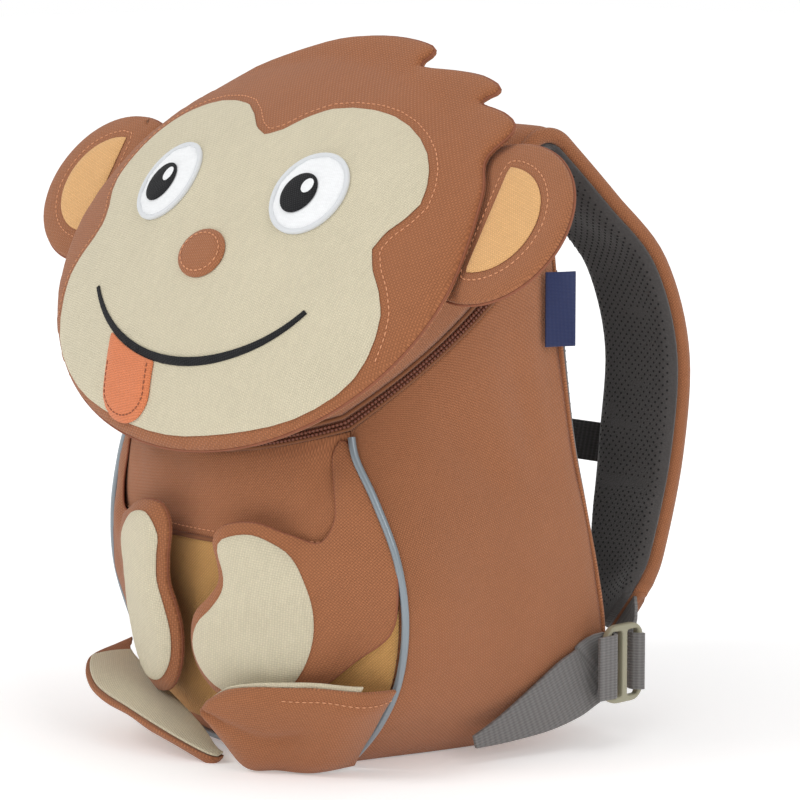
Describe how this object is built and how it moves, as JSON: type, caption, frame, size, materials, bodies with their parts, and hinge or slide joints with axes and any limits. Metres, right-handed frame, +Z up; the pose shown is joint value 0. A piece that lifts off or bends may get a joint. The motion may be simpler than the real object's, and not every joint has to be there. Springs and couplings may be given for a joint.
{
  "type": "kids backpack",
  "caption": "Small padded kids backpack sewn as a seated cloth monkey, with a domed head lid on a zip, arm and foot flaps, piping, mesh straps, ladder buckles and a chest strap.",
  "frame": {"origin": "on the floor, under the middle of the body's width, at the middle of the base face", "axes": "+Z up, the face looks toward -Y, the wearer's back lies at +Y, +X is at the right of someone who looks at the face"},
  "size_m": [0.292, 0.2097, 0.2768],
  "materials": {
    "brown_cloth": "woven polyester",
    "cream_cloth": "woven polyester",
    "ochre_cloth": "woven polyester",
    "apricot_cloth": "woven polyester",
    "coral_cloth": "woven polyester",
    "white_satin": "satin with stitched rim",
    "black_satin": "satin",
    "zip_brown": "zip tape and coil",
    "charcoal_plastic": "matte",
    "charcoal_web": "webbing",
    "reflective_piping": "reflective",
    "grey_mesh": "perforated spacer mesh",
    "grey_web": "ribbed webbing",
    "khaki_plastic": "semi-matte",
    "navy_label": "woven satin"
  },
  "bodies": {
    "root": {"body_shell": "brown_cloth", "lid_gusset": "brown_cloth", "head_front": "brown_cloth", "arm_right": "brown_cloth", "arm_left": "brown_cloth", "leg_right": "brown_cloth", "leg_left": "brown_cloth", "ear_right": "brown_cloth", "ear_left": "brown_cloth", "nose": "brown_cloth", "shoulder_strap_right": "brown_cloth", "shoulder_strap_left": "brown_cloth", "face_panel": "cream_cloth", "palm_right": "cream_cloth", "palm_left": "cream_cloth", "sole_right": "cream_cloth", "sole_left": "cream_cloth", "belly_panel": "ochre_cloth", "ear_inner_right": "apricot_cloth", "ear_inner_left": "apricot_cloth", "tongue": "coral_cloth", "eye_white_right": "white_satin", "eye_white_left": "white_satin", "pupil_right": "black_satin", "pupil_left": "black_satin", "mouth": "black_satin", "zip_tape": "zip_brown", "zip_teeth": "zip_brown", "zip_slider": "charcoal_plastic", "chest_clasp": "charcoal_plastic", "chest_strap_right": "charcoal_web", "chest_strap_left": "charcoal_web", "front_piping": "reflective_piping", "back_pad": "grey_mesh", "strap_lining_right": "grey_mesh", "strap_lining_left": "grey_mesh", "hem_web_right": "grey_web", "hem_web_left": "grey_web", "strap_web_right": "grey_web", "strap_web_left": "grey_web", "ladder_buckle_right": "khaki_plastic", "ladder_buckle_left": "khaki_plastic", "side_label": "navy_label"}
  },
  "joints": []
}
